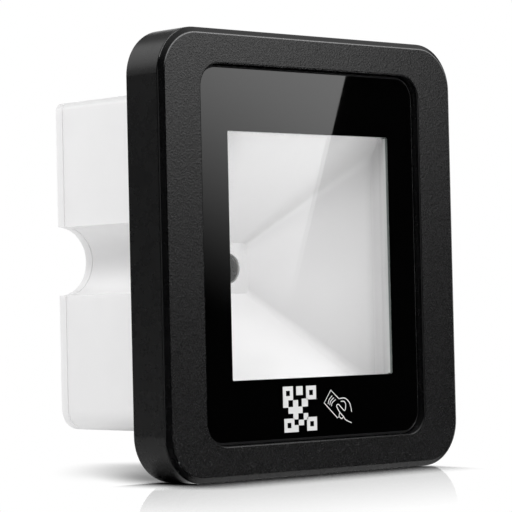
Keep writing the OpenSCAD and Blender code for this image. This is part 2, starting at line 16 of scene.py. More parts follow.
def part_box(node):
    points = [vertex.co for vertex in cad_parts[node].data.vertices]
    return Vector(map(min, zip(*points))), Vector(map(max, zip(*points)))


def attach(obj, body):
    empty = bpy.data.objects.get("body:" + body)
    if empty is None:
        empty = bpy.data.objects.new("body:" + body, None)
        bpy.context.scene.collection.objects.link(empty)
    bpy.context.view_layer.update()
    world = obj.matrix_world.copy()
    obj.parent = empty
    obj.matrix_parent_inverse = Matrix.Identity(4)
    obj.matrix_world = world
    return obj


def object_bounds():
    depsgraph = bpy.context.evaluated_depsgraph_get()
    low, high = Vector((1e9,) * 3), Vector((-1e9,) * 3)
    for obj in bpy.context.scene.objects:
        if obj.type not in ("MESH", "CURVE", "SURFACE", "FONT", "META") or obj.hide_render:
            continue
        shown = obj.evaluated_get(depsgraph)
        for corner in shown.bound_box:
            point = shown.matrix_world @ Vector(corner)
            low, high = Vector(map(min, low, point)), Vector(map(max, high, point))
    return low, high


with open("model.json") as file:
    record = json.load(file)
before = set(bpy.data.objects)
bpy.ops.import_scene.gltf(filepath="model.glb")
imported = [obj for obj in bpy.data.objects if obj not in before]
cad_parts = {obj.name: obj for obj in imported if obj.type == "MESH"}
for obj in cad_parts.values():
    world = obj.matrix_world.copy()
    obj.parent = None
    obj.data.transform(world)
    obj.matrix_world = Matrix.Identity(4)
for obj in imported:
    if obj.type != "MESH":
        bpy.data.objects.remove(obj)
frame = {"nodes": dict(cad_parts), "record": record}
CAD_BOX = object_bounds()
NODES = frame["nodes"]
MM = 0.001
PLATE_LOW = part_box("window_mask")[0]

# Length of one band of Blender's wave texture at scale 1
WAVE_LENGTH = math.tau / 20


# Node graphs

class Graph:
    """A node tree, with short ways to add nodes and join them."""

    def __init__(self, tree):
        self.tree = tree
        self.tree.nodes.clear()

    def node(self, kind, inputs=None, **settings):
        """Adds a node. Inputs are numbers, colours or the sockets of other nodes."""
        made = self.tree.nodes.new(kind)
        for key, value in settings.items():
            setattr(made, key, value)
        for key, value in (inputs or {}).items():
            if isinstance(value, bpy.types.NodeSocket):
                self.tree.links.new(value, made.inputs[key])
            else:
                made.inputs[key].default_value = value
        return made

    def math(self, operation, a, b=0.0, clamp=False):
        made = self.node("ShaderNodeMath", {0: a, 1: b}, operation=operation, use_clamp=clamp)
        return made.outputs[0]

    def times(self, first, *others):
        """Product of numbers."""
        for other in others:
            first = self.math("MULTIPLY", first, other)
        return first

    def most(self, first, *others):
        """Largest of numbers."""
        for other in others:
            first = self.math("MAXIMUM", first, other)
        return first

    def size_of(self, value):
        """A number without its sign."""
        return self.math("ABSOLUTE", value)

    def spread(self, value, low, high, to_low=0.0, to_high=1.0):
        """Maps a value from one range to another, with soft ends."""
        made = self.node("ShaderNodeMapRange", {0: value, 1: low, 2: high, 3: to_low, 4: to_high},
                         interpolation_type="SMOOTHSTEP")
        return made.outputs[0]

    def fall(self, value, low, high):
        """Falls from 1 to 0 over a range."""
        return self.spread(value, low, high, 1.0, 0.0)

    def mix(self, share, a, b):
        """Mixes two numbers."""
        return self.math("ADD", self.times(self.math("SUBTRACT", 1.0, share), a), self.times(share, b))

    def blend(self, share, a, b):
        """Mixes two colours."""
        made = self.node("ShaderNodeMix", data_type="RGBA")
        self.tree.links.new(share, made.inputs["Factor"])
        for key, value in (("A", a), ("B", b)):
            socket = next(s for s in made.inputs if s.name == key and s.type == "RGBA")
            if isinstance(value, bpy.types.NodeSocket):
                self.tree.links.new(value, socket)
            else:
                socket.default_value = rgba(value)
        return next(s for s in made.outputs if s.type == "RGBA")

    def overlay(self, share, below, above):
        """Mixes two shaders."""
        return self.node("ShaderNodeMixShader", {0: share, 1: below.outputs[0], 2: above.outputs[0]})

    def parts(self, vector):
        """The X, Y and Z of a vector."""
        split = self.node("ShaderNodeSeparateXYZ", {0: vector})
        return [split.outputs[key] for key in "XYZ"]

    def place(self):
        """Coordinates fixed to the object, in millimetres."""
        made = self.node("ShaderNodeTexCoord")
        scaled = self.node("ShaderNodeVectorMath", {0: made.outputs["Object"], "Scale": 1 / MM},
                           operation="SCALE")
        return scaled.outputs[0]

    def facing(self):
        """The X, Y and Z of the surface's own normal."""
        return self.parts(self.node("ShaderNodeTexCoord").outputs["Normal"])

    def noise(self, grain, detail=2.0, rough=0.5):
        """Noise whose spots are about one grain across, in millimetres."""
        made = self.node("ShaderNodeTexNoise", {"Vector": self.place(), "Scale": 1 / grain,
                                                "Detail": detail, "Roughness": rough})
        return made.outputs[0]

    def pebbles(self, grain):
        """Rounded cells about one grain across, in millimetres."""
        made = self.node("ShaderNodeTexVoronoi", {"Vector": self.place(), "Scale": 1 / grain,
                                                  "Smoothness": 0.6}, feature="SMOOTH_F1")
        return made.outputs["Distance"]

    def rings(self, pitch, axis="Y"):
        """Fine turned rings, a pitch apart in millimetres."""
        made = self.node("ShaderNodeTexWave", {"Vector": self.place(), "Scale": WAVE_LENGTH / pitch,
                                               "Distortion": 0.4, "Detail": 1.0},
                         wave_type="BANDS", bands_direction=axis)
        return made.outputs["Fac"]

    def relief(self, height, depth, strength=1.0):
        """Bump from a height between 0 and 1, with a depth in millimetres."""
        made = self.node("ShaderNodeBump", {"Height": height, "Distance": depth * MM,
                                            "Strength": strength})
        return made.outputs[0]


def rgba(colour):
    return (*colour, 1.0) if len(colour) == 3 else tuple(colour)


def new_finish(name):
    """A new material, its graph and its output node."""
    material = bpy.data.materials.new(name)
    material.use_nodes = True
    graph = Graph(material.node_tree)
    return material, graph, graph.node("ShaderNodeOutputMaterial")


def surface(graph, output, inputs, colour):
    """Principled surface with a colour from the graph, joined to the output."""
    shader = graph.node("ShaderNodeBsdfPrincipled", {**inputs, "Base Color": colour})
    graph.tree.links.new(shader.outputs[0], output.inputs["Surface"])


# Finishes of the frame. A pair of colours or numbers is what a noise moves between.

NOISE_BAND = (0.3, 0.7)
CLOUD_MM = 9.0
SMEAR_MM = 14.0

# How far the frame's normals lean to the front: 1 on the face, 0 on the sides
FACE_LEAN = (0.975, 0.995)
CHAMFER_LEAN = 0.82
CHAMFER_SLACK = (0.012, 0.03)
SIDE_LEAN = (0.02, 0.06)
INNER_EDGE_LEAN = (0.84, 0.88)

PEBBLE_MM, CREASE_MM, SPECKLE_MM, HANDLING_MM = 0.4, 0.2, 0.5, 4.0
PEBBLE_SHARE, CREASE_SHARE = 0.75, 0.35
GRAIN_DEPTH = 0.05
GRAIN_STRENGTH = (0.03, 0.62)
SMOOTH_ROUGH = (0.26, 0.29)
GRAINED_ROUGH = (0.34, 0.25)
WORN_ROUGH = 0.11
FACE_BLACK = ((0.0068, 0.0068, 0.007), (0.0108, 0.0108, 0.011))
SIDE_BLACK = ((0.0016, 0.0016, 0.0018), (0.0024, 0.0024, 0.0026))
# Painted highlight along the upper inner edge: its colours, and the tilt and height where it shows
EDGE_HIGHLIGHT_GREY = ((0.13, 0.13, 0.131), (0.19, 0.19, 0.191))
EDGE_HIGHLIGHT_TILT = (0.04, 0.16)
EDGE_HIGHLIGHT_HEIGHT = (15.0, 40.0)


def moulded(name, colour, shade, grain, depth, rough, rough_change=0.06):
    """Moulded plastic: cloudy colour, fine spark-eroded grain and uneven gloss."""
    material, graph, output = new_finish(name)
    clouds = graph.noise(CLOUD_MM, 3.0)
    fine = graph.noise(grain, 4.0, 0.6)
    surface(graph, output, {
        "Roughness": graph.spread(fine, *NOISE_BAND, rough - rough_change, rough + rough_change),
        "Normal": graph.relief(fine, depth),
    }, graph.blend(clouds, colour, shade))
    return material


def bezel_finish():
    """Black plastic: pebbled face, smooth sides and chamfers, polished edges, and a painted highlight on the
    upper inner edge.
    """
    material, graph, output = new_finish("bezel_plastic")
    _, normal_y, normal_z = graph.facing()
    lean = graph.size_of(normal_y)
    front = graph.spread(lean, *FACE_LEAN)
    chamfer = graph.fall(graph.size_of(graph.math("SUBTRACT", lean, CHAMFER_LEAN)), *CHAMFER_SLACK)
    side = graph.fall(lean, *SIDE_LEAN)
    worn = graph.math("SUBTRACT", 1.0, graph.most(front, chamfer, side), clamp=True)
    pebbles = graph.pebbles(PEBBLE_MM)
    creases = graph.noise(CREASE_MM, 3.0, 0.6)
    height = graph.math("ADD", graph.times(pebbles, PEBBLE_SHARE), graph.times(creases, CREASE_SHARE))
    handling = graph.noise(HANDLING_MM, 4.0, 0.6)
    smooth = graph.spread(handling, *NOISE_BAND, *SMOOTH_ROUGH)
    grained = graph.spread(pebbles, 0.1, 0.7, *GRAINED_ROUGH)
    speckle = graph.spread(graph.noise(SPECKLE_MM, 3.0, 0.7), 0.35, 0.65)
    black = graph.blend(front, graph.blend(handling, *SIDE_BLACK), graph.blend(speckle, *FACE_BLACK))
    # Painted highlight: the inner edge is paler where it faces up, near the top of the frame
    up = graph.parts(graph.place())[2]
    upper = graph.times(graph.spread(normal_z, *EDGE_HIGHLIGHT_TILT), graph.spread(up, *EDGE_HIGHLIGHT_HEIGHT))
    edge_highlight = graph.times(worn, graph.spread(lean, *INNER_EDGE_LEAN), upper)
    surface(graph, output, {
        "Roughness": graph.mix(worn, graph.mix(front, smooth, grained), WORN_ROUGH),
        "Normal": graph.relief(height, GRAIN_DEPTH, graph.spread(front, 0.0, 1.0, *GRAIN_STRENGTH)),
        "IOR": 1.42,
    }, graph.blend(edge_highlight, black, graph.blend(creases, *EDGE_HIGHLIGHT_GREY)))
    return material


PLATE_BLACK = ((0.0004, 0.0004, 0.0004), (0.0008, 0.0008, 0.0008))
PLATE_POLISH = (0.006, 0.02)
BEVEL_LEAN = ((0.3, 0.5), (0.9, 0.97))
# The bevel's colour carries painted shade: dark where it faces up or down, paler where it faces the sides
BEVEL_LIT_SIDEWAYS = (0.2, 0.5)
BEVEL_SHADED_GREY = ((0.03, 0.03, 0.031), (0.15, 0.151, 0.152))
BEVEL_ROUGH = 0.4
BEVEL_GRAIN_MM = 0.15


def plate_finish():
    """Polished black plate with the faintest smears and a ground bevel, paler at the sides, with painted
    shade that darkens the bevel at its top and bottom.
    """
    material, graph, output = new_finish("mask_print")
    smears = graph.noise(SMEAR_MM, 5.0, 0.65)
    polish = graph.spread(smears, 0.35, 0.75, *PLATE_POLISH)
    normal_x, normal_y, _ = graph.facing()
    lean = graph.size_of(normal_y)
    ground = graph.times(graph.spread(lean, *BEVEL_LEAN[0]), graph.fall(lean, *BEVEL_LEAN[1]))
    # Painted shade: the bevel is dark at its top and bottom and paler at its sides
    grey = graph.blend(graph.spread(graph.size_of(normal_x), *BEVEL_LIT_SIDEWAYS), *BEVEL_SHADED_GREY)
    surface(graph, output, {
        "Roughness": graph.mix(ground, polish, BEVEL_ROUGH),
        "Normal": graph.relief(graph.times(graph.noise(BEVEL_GRAIN_MM, 2.0), ground), 0.01),
        "IOR": 1.5,
    }, graph.blend(ground, graph.blend(smears, *PLATE_BLACK), grey))
    return material


PANE_TINT = ((0.988, 0.99, 0.989), (0.993, 0.995, 0.994))
PANE_PASS = (0.976, 0.978, 0.977)


def window_finish():
    """Clear pane: light passes straight through, and a polished skin mirrors the studio."""
    material, graph, output = new_finish("window_glass")
    smears = graph.noise(SMEAR_MM, 5.0, 0.65)
    glass = graph.node("ShaderNodeBsdfPrincipled", {
        "Base Color": graph.blend(smears, *PANE_TINT),
        "Roughness": 0.0,
        "IOR": 1.001,
        "Transmission Weight": 1.0,
        "Coat Weight": 1.0,
        "Coat IOR": 1.5,
        "Coat Roughness": 0.002,
    })
    clear = graph.node("ShaderNodeBsdfTransparent", {"Color": rgba(PANE_PASS)})
    path = graph.node("ShaderNodeLightPath")
    unseen = graph.most(path.outputs["Is Shadow Ray"], path.outputs["Is Diffuse Ray"])
    graph.tree.links.new(graph.overlay(unseen, glass, clear).outputs[0], output.inputs["Surface"])
    return material


HOUSING_WHITE = ((0.80, 0.797, 0.80), (0.835, 0.832, 0.835))
# Painted shade on the upward faces near the top: its colour, and the height and tilt where it shows
HOUSING_TOP_SHADE = (0.66, 0.658, 0.66)
TOP_SHADE_HEIGHT = (28.0, 33.0)
TOP_SHADE_TILT = (0.1, 0.6)


def housing_finish():
    """Matt white moulding with a fine grain, and painted shade that makes its upward faces near the top a
    little greyer.
    """
    material, graph, output = new_finish("housing_plastic")
    fine = graph.noise(0.35, 4.0, 0.6)
    white = graph.blend(graph.noise(CLOUD_MM, 3.0), *HOUSING_WHITE)
    # Painted shade: greyer on the upward faces near the top
    high = graph.spread(graph.parts(graph.place())[2], *TOP_SHADE_HEIGHT)
    top_shade = graph.times(graph.spread(graph.facing()[2], *TOP_SHADE_TILT), high)
    surface(graph, output, {
        "Roughness": graph.spread(fine, *NOISE_BAND, 0.4, 0.52),
        "Normal": graph.relief(fine, 0.012),
        "Subsurface Weight": 0.35,
        "Subsurface Radius": (1.0, 1.0, 1.0),
        "Subsurface Scale": 1.5 * MM,
    }, graph.blend(top_shade, white, HOUSING_TOP_SHADE))
    return material


# The funnel's shape, and the factors of painted shade and painted light on its white
FUNNEL_END_Y = 19.05
FUNNEL_END_HALF = 6.0
FUNNEL_SIDE_LEAN = 0.857
FUNNEL_TOP_LEAN = 0.9
LENS_Z = -2.3
FUNNEL_WHITE = ((0.792, 0.785, 0.79), (0.812, 0.805, 0.81))
FUNNEL_TURN = (0.3, 0.6)
CREASE_SIDE = 1.15
CREASE_BAND = (0.54, 1.0)
CREASE_SHADE_LOSS = (0.165, 0.1)
MOUTH_DEPTH = (-4.8, -2.2)
MOUTH_SHADE_LOSS = 0.19
FOOT_SHADE_LOSS = 0.09
LIP_HIGHLIGHT_GAIN = 0.09
END_SHADE_LEVEL = 0.86
DEEP_LIGHT_LEVEL, DEEP_WALL_LIGHT_LEVEL = 0.99, 1.09
ROOF_ACROSS = (-14.0, 16.0)
ROOF_SHADE_LEVEL = (0.945, 0.925)


def funnel_finish():
    """Matt white funnel with painted shade and painted light: darker at its end, in the upper creases and
    along the mouth, brighter deep inside and on its slopes near the mouth.
    """
    material, graph, output = new_finish("funnel_plastic")
    fine = graph.noise(0.5, 4.0, 0.6)
    across, depth, up = graph.parts(graph.place())
    left = graph.math("SUBTRACT", FUNNEL_END_Y, depth)
    half_w = graph.math("ADD", graph.times(left, FUNNEL_SIDE_LEAN), FUNNEL_END_HALF)
    half_h = graph.math("ADD", graph.times(left, FUNNEL_TOP_LEAN), FUNNEL_END_HALF)
    by_side = graph.math("DIVIDE", graph.size_of(across), half_w)
    by_top = graph.math("DIVIDE", graph.math("SUBTRACT", up, LENS_Z), half_h)
    by_foot = graph.times(by_top, -1.0)
    normal_x, normal_y, normal_z = graph.facing()
    wall = graph.spread(graph.size_of(normal_x), *FUNNEL_TURN)
    slope = graph.spread(graph.size_of(normal_z), *FUNNEL_TURN)
    crease = graph.spread(graph.math("MINIMUM", graph.times(by_side, CREASE_SIDE), by_top), *CREASE_BAND)
    mouth = graph.fall(depth, *MOUTH_DEPTH)
    # Painted shade and painted light: each factor below darkens or brightens the white
    end = graph.spread(graph.size_of(normal_y), 0.8, 0.98, 1.0, END_SHADE_LEVEL)
    deep_light = graph.spread(depth, -2.0, 12.0, 1.0, graph.mix(wall, DEEP_LIGHT_LEVEL, DEEP_WALL_LIGHT_LEVEL))
    crease_shade = graph.times(crease, graph.spread(depth, -8.0, 3.0, *CREASE_SHADE_LOSS))
    shade = graph.math("SUBTRACT", 1.0, crease_shade)
    mouth_foot_shade = graph.math("ADD", graph.times(mouth, MOUTH_SHADE_LOSS), graph.spread(by_foot, 0.1, 1.0, 0.0, FOOT_SHADE_LOSS))
    rim = graph.math("SUBTRACT", 1.0, graph.times(mouth_foot_shade, wall))
    lip_highlight = graph.math("ADD", 1.0, graph.times(slope, graph.spread(depth, -8.0, -3.0, LIP_HIGHLIGHT_GAIN, 0.0)))
    roof_shade = graph.spread(normal_z, -0.6, -0.3, graph.spread(across, *ROOF_ACROSS, *ROOF_SHADE_LEVEL), 1.0)
    level = graph.times(end, deep_light, shade, rim, lip_highlight, roof_shade)
    white = graph.blend(graph.noise(CLOUD_MM, 3.0), *FUNNEL_WHITE)
    tint = graph.node("ShaderNodeVectorMath", {0: white, "Scale": level}, operation="SCALE")
    surface(graph, output, {
        "Roughness": graph.spread(fine, *NOISE_BAND, 0.46, 0.58),
        "Normal": graph.relief(fine, 0.006),
    }, tint.outputs[0])
    return material


def metal(name, colour, shade, rough, pitch, depth):
    """Turned metal with fine rings and uneven polish."""
    material, graph, output = new_finish(name)
    rings = graph.rings(pitch)
    wear = graph.noise(0.8, 4.0, 0.6)
    surface(graph, output, {
        "Metallic": 1.0,
        "Roughness": graph.spread(wear, *NOISE_BAND, rough - 0.08, rough + 0.1),
        "Normal": graph.relief(rings, depth, 0.5),
    }, graph.blend(wear, colour, shade))
    return material


RESIST_GREEN = ((0.012, 0.085, 0.04), (0.02, 0.12, 0.06))
TRACK_GREEN = (0.05, 0.24, 0.12)


def board_finish():
    """Green solder resist over tracks that show as paler, raised lines."""
    material, graph, output = new_finish("circuit_board")
    cells = graph.node("ShaderNodeTexBrick", {"Vector": graph.place(), "Scale": 0.35, "Mortar Size": 0.03})
    tracks = cells.outputs["Fac"]
    weave = graph.noise(0.25, 2.0)
    surface(graph, output, {
        "Roughness": graph.spread(weave, *NOISE_BAND, 0.28, 0.4),
        "Normal": graph.relief(tracks, 0.03),
    }, graph.blend(tracks, graph.blend(weave, *RESIST_GREEN), TRACK_GREEN))
    return material


LENS_DARK = (0.004, 0.004, 0.006)
LENS_BLOOM = (0.03, 0.012, 0.05)


def lens_finish():
    """Dark coated lens with a violet bloom at its rim."""
    material, graph, output = new_finish("lens_glass")
    rim = graph.fall(graph.size_of(graph.facing()[1]), 0.75, 1.0)
    surface(graph, output, {
        "Roughness": graph.spread(graph.noise(1.2, 3.0), *NOISE_BAND, 0.02, 0.06),
        "IOR": 1.6,
        "Coat Weight": 0.6,
        "Coat Tint": rgba((0.7, 0.6, 1.0)),
    }, graph.blend(rim, LENS_DARK, LENS_BLOOM))
    return material


# Name, two colours, grain, depth of the grain and roughness
MOULDINGS = (
    ("tape", (0.012, 0.012, 0.012), (0.02, 0.02, 0.02), 0.4, 0.05, 0.85),
    ("lead_sleeve", (0.55, 0.55, 0.53), (0.62, 0.62, 0.6), 0.6, 0.01, 0.5),
    ("camera_plastic", (0.008, 0.008, 0.008), (0.014, 0.014, 0.014), 0.25, 0.015, 0.6),
    ("sensor_chip", (0.03, 0.03, 0.05), (0.05, 0.045, 0.07), 0.8, 0.002, 0.2),
    ("emitter_resin", (0.85, 0.78, 0.42), (0.9, 0.85, 0.55), 0.5, 0.004, 0.25),
    ("socket_plastic", (0.7, 0.66, 0.55), (0.75, 0.71, 0.6), 0.3, 0.01, 0.45),
    ("chip_resin", (0.014, 0.014, 0.015), (0.022, 0.022, 0.023), 0.2, 0.012, 0.6),
    ("inductor_core", (0.09, 0.09, 0.095), (0.13, 0.13, 0.135), 0.35, 0.03, 0.65),
)

# Name, two colours, roughness, pitch of the rings and their depth. The inserts' rings are their threads.
METALS = (
    ("copper", (0.72, 0.36, 0.2), (0.62, 0.28, 0.15), 0.3, 0.4, 0.01),
    ("screw_steel", (0.6, 0.61, 0.62), (0.48, 0.49, 0.5), 0.3, 0.25, 0.01),
    ("insert_brass", (0.7, 0.5, 0.2), (0.6, 0.4, 0.15), 0.28, 0.7, 0.25),
    ("pin_metal", (0.78, 0.66, 0.38), (0.68, 0.55, 0.3), 0.25, 0.2, 0.006),
)


def dress_solids():
    """Gives every solid of the frame the finish of its slot in the record."""
    finishes = {
        "bezel_plastic": bezel_finish(),
        "mask_print": plate_finish(),
        "window_glass": window_finish(),
        "housing_plastic": housing_finish(),
        "funnel_plastic": funnel_finish(),
        "circuit_board": board_finish(),
        "lens_glass": lens_finish(),
    }
    finishes.update({row[0]: moulded(*row) for row in MOULDINGS})
    finishes.update({row[0]: metal(*row) for row in METALS})
    for part in frame["record"]["subparts"]:
        solid = NODES[part["node"]]
        solid.data.materials.clear()
        solid.data.materials.append(finishes[part["material_slot"]])


# Printed symbols

PRINT_T = 0.03 * MM
PRINT_Y = PLATE_LOW.y - PRINT_T


def print_finish():
    """White screen print with slightly uneven ink."""
    return moulded("symbol_ink", (0.62, 0.62, 0.615), (0.68, 0.68, 0.675), 0.3, 0.01, 0.5)


def new_piece(name, mesh, finish):
    """Adds a mesh as a piece that belongs to the reader."""
    mesh.normal_update()
    data = bpy.data.meshes.new(name)
    mesh.to_mesh(data)
    mesh.free()
    data.materials.append(finish)
    piece = bpy.data.objects.new(name, data)
    bpy.context.scene.collection.objects.link(piece)
    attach(piece, "root")


def add_print(mesh, outline):
    """Adds a flat printed shape on the plate from an outline in millimetres, across and up."""
    front = [mesh.verts.new((x * MM, PRINT_Y, z * MM)) for x, z in outline]
    back = [mesh.verts.new((x * MM, PLATE_LOW.y, z * MM)) for x, z in outline]
    mesh.faces.new(front)
    mesh.faces.new(list(reversed(back)))
    for i in range(len(outline)):
        j = (i + 1) % len(outline)
        mesh.faces.new((front[j], front[i], back[i], back[j]))


def add_block(mesh, left, top, width, height):
    right, foot = left + width, top - height
    add_print(mesh, [(left, foot), (right, foot), (right, top), (left, top)])


def add_ring(mesh, left, top, size, bar):
    """A square with a square hole, from four bars."""
    inside = size - 2 * bar
    add_block(mesh, left, top, size, bar)
    add_block(mesh, left, top - size + bar, size, bar)
    add_block(mesh, left, top - bar, bar, inside)
    add_block(mesh, left + size - bar, top - bar, bar, inside)


def add_stroke(mesh, points, width):
    """A line of even width through points in millimetres."""
    half = width / 2
    left, right = [], []
    for i, point in enumerate(points):
        before = Vector(points[max(i - 1, 0)])
        after = Vector(points[min(i + 1, len(points) - 1)])
        along = (after - before).normalized()
        side = Vector((-along.y, along.x)) * half
        left.append(Vector(point) + side)
        right.append(Vector(point) - side)
    add_print(mesh, [tuple(p) for p in right + left[::-1]])


def curve(points, steps=6):
    """Smooth line through points."""
    ends = [points[0]] + list(points) + [points[-1]]
    line = []
    for i in range(1, len(ends) - 2):
        p0, p1, p2, p3 = (Vector(p) for p in ends[i - 1:i + 3])
        for k in range(steps):
            t = k / steps
            line.append(0.5 * (2 * p1 + (p2 - p0) * t + (2 * p0 - 5 * p1 + 4 * p2 - p3) * t * t
                               + (3 * p1 - p0 - 3 * p2 + p3) * t ** 3))
    line.append(Vector(points[-1]))
    return [tuple(p) for p in line]


# The code symbol. Rings and blocks are measured from its top left corner, to the right and down.
CODE_LEFT = -10.1
CODE_TOP = -29.75
CODE_RING = 3.1
CODE_RING_W = 0.95
CODE_RINGS = ((0.0, 0.0), (7.15, 0.05), (0.25, 7.25), (7.25, 7.15))
CODE_BLOCKS = (
    (4.1, 0.05, 2.0, 2.0), (0.0, 3.1, 1.6, 1.65), (5.75, 2.9, 1.9, 1.8),
    (3.05, 3.15, 1.55, 4.35), (1.6, 4.65, 1.45, 1.5), (4.6, 4.65, 1.35, 1.5),
    (6.25, 6.2, 1.4, 1.5), (3.35, 8.8, 1.25, 1.55), (4.7, 7.65, 1.6, 1.25),
)


def make_code_symbol(ink):
    """A plain code symbol: a square ring in each corner and a few blocks between them."""
    mesh = bmesh.new()
    for x, z in CODE_RINGS:
        add_ring(mesh, CODE_LEFT + x, CODE_TOP - z, CODE_RING, CODE_RING_W)
    for x, z, width, height in CODE_BLOCKS:
        add_block(mesh, CODE_LEFT + x, CODE_TOP - z, width, height)
    new_piece("code_symbol", mesh, ink)


# The card symbol: the card's outline, the waves on it and the lines of the hand, across and up.
# A wave's points each move along their own way, in proportion to the wave's reach.
LINE_W = 0.21
WAVE_W = 0.18
CARD_LINE = ((7.4, -33.15), (4.8, -31.05), (2.65, -33.9), (6.75, -37.5), (7.3, -37.15))
WAVE_REACHES = (0.0, 0.75, 1.5)
WAVE_POINTS = (((5.2, -32.35), (0.7, -0.62)), ((4.25, -33.2), (0.62, -0.5)), ((3.85, -34.2), (0.72, -0.36)))
HAND_LINES = (
    ((7.3, -33.1), (9.2, -33.05), (10.55, -34.0), (11.05, -35.1), (11.3, -36.3)),
    ((7.9, -33.75), (8.95, -33.8), (9.45, -34.6), (9.1, -35.9), (8.1, -35.2), (7.15, -34.4),
     (6.55, -34.8), (7.5, -36.2), (8.7, -37.3), (9.35, -38.05), (11.2, -38.8)),
    ((7.5, -36.3), (7.3, -37.15), (8.1, -37.7), (8.6, -37.35)),
)


def make_card_symbol(ink):
    """A plain symbol of a hand that holds a card with radio waves on it."""
    mesh = bmesh.new()
    add_stroke(mesh, CARD_LINE, LINE_W)
    for reach in WAVE_REACHES:
        wave = [(x + reach * to_x, z + reach * to_z) for (x, z), (to_x, to_z) in WAVE_POINTS]
        add_stroke(mesh, curve(wave), WAVE_W)
    for line in HAND_LINES:
        add_stroke(mesh, curve(line), LINE_W)
    new_piece("card_symbol", mesh, ink)


# Ground edge of the window

EDGE_GREEN = (0.07, 0.085, 0.078)
EDGE_PAINTED_WHITE = (0.6, 0.615, 0.605)
EDGE_PAINTED_FROM, EDGE_PAINTED_TO = 0.55, 0.85


def edge_finish():
    """Ground glass edge: dark green towards the front, and white towards the back as painted light from the
    funnel behind.
    """
    material, graph, output = new_finish("window_edge")
    front = PLATE_LOW.y / MM
    # Painted light: white towards the back of the edge
    painted_light = graph.spread(graph.parts(graph.place())[1], front + EDGE_PAINTED_FROM, front + EDGE_PAINTED_TO)
    fine = graph.noise(0.3, 3.0, 0.6)
    surface(graph, output, {
        "Roughness": graph.spread(fine, *NOISE_BAND, 0.35, 0.45),
        "Normal": graph.relief(fine, 0.02),
    }, graph.blend(painted_light, EDGE_GREEN, EDGE_PAINTED_WHITE))
    return material


def make_window_edge():
    """A thin band in the seam between the clear window and the plate."""
    low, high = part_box("window_glass")
    seam = 0.02 * MM
    mesh = bmesh.new()
    corners = [(low.x, low.z), (high.x, low.z), (high.x, high.z), (low.x, high.z)]
    outward = [(-1, -1), (1, -1), (1, 1), (-1, 1)]
    front, back = low.y + seam, high.y - seam
    rows = []
    for y, grow in ((front, seam), (back, seam), (back, 2 * seam), (front, 2 * seam)):
        rows.append([mesh.verts.new((x + grow * ox, y, z + grow * oz))
                     for (x, z), (ox, oz) in zip(corners, outward)])
    for i in range(len(rows)):
        near, far = rows[i], rows[(i + 1) % len(rows)]
        for k in range(len(corners)):
            m = (k + 1) % len(corners)
            mesh.faces.new((near[k], near[m], far[m], far[k]))
    bmesh.ops.recalc_face_normals(mesh, faces=mesh.faces)
    new_piece("window_edge", mesh, edge_finish())


# Camera

CAMERA_YAW, CAMERA_PITCH, CAMERA_ROLL = (math.radians(angle) for angle in (42.0, 1.3573, -1.2878))
CAMERA_REACH, CAMERA_SLIDE, CAMERA_LIFT = 559.31 * MM, -13.957 * MM, -0.034 * MM
FOCAL_PX, FRAME_PX, SENSOR_MM = 2456.83, 512, 36.0
UPWARD = Vector((0, 0, 1))


def make_camera():
    """The photograph's camera, fitted to the reader's edges. Returns the way it looks."""
    level = math.cos(CAMERA_PITCH)
    ahead = Vector((math.sin(CAMERA_YAW) * level, math.cos(CAMERA_YAW) * level, math.sin(CAMERA_PITCH)))
    right = ahead.cross(UPWARD).normalized()
    up = right.cross(ahead)
    data = bpy.data.cameras.new("camera")
    data.sensor_width = SENSOR_MM
    data.lens = FOCAL_PX * SENSOR_MM / FRAME_PX
    data.clip_start = 0.01
    camera = bpy.data.objects.new("camera", data)
    bpy.context.scene.collection.objects.link(camera)
    turned_right = right * math.cos(CAMERA_ROLL) + up * math.sin(CAMERA_ROLL)
    turned_up = up * math.cos(CAMERA_ROLL) - right * math.sin(CAMERA_ROLL)
    turn = Matrix((turned_right, turned_up, -ahead)).transposed()
    face = Vector((0, CAD_BOX[0].y, 0))
    stand = face - ahead * CAMERA_REACH + right * CAMERA_SLIDE + up * CAMERA_LIFT
    camera.matrix_world = Matrix.Translation(stand) @ turn.to_4x4()
    bpy.context.scene.camera = camera
    return ahead


# Lamps, in metres and watts

# The card that the window mirrors: its slanted edge and its fade show on the plate
CARD_W, CARD_H = 0.26, 0.42
CARD_POWER = 1.02
CARD_SLANT = math.atan(0.2607)
CARD_REACH, CARD_ASIDE, CARD_RISE = 0.6, 0.0095, 0.15
CARD_FADE = (0.055, 0.395)
CARD_FADE_TILT, CARD_FADE_PIVOT = 0.16, 0.85

# Strips that draw bright lines along the frame's rounded edges: name, both ends, width and power
STRIPS = (
    ("face_strip_low", (0.0, -0.68, 0.25), (0.14, -0.6, 0.385), 0.05, 0.3),
    ("face_strip_high", (0.14, -0.6, 0.385), (0.56, -0.38, 0.46), 0.05, 1.25),
    ("edge_strip_low", (-0.45, -0.18, 0.36), (-0.18, -0.1, 0.564), 0.08, 0.5),
    ("edge_strip_high", (-0.18, -0.1, 0.564), (0.15, 0.025, 0.61), 0.08, 0.5),
)

# Soft fills that gloss doesn't show: name, place, target, size and power
FILLS = (
    ("front_soft", (0.27, -0.6, 0.3), (0, 0, 0), (0.3, 0.06), 0.95),
    ("top_front", (0.1, -0.35, 0.6), (0, 0, 0), (0.2, 0.2), 0.4),
    ("left_front", (-0.45, -0.3, 0.6), (0, 0, 0), (0.3, 0.3), 1.2),
    ("left_high", (-0.45, 0.1, 0.5), (-0.03, 0.02, 0), (0.4, 0.4), 1.1),
)


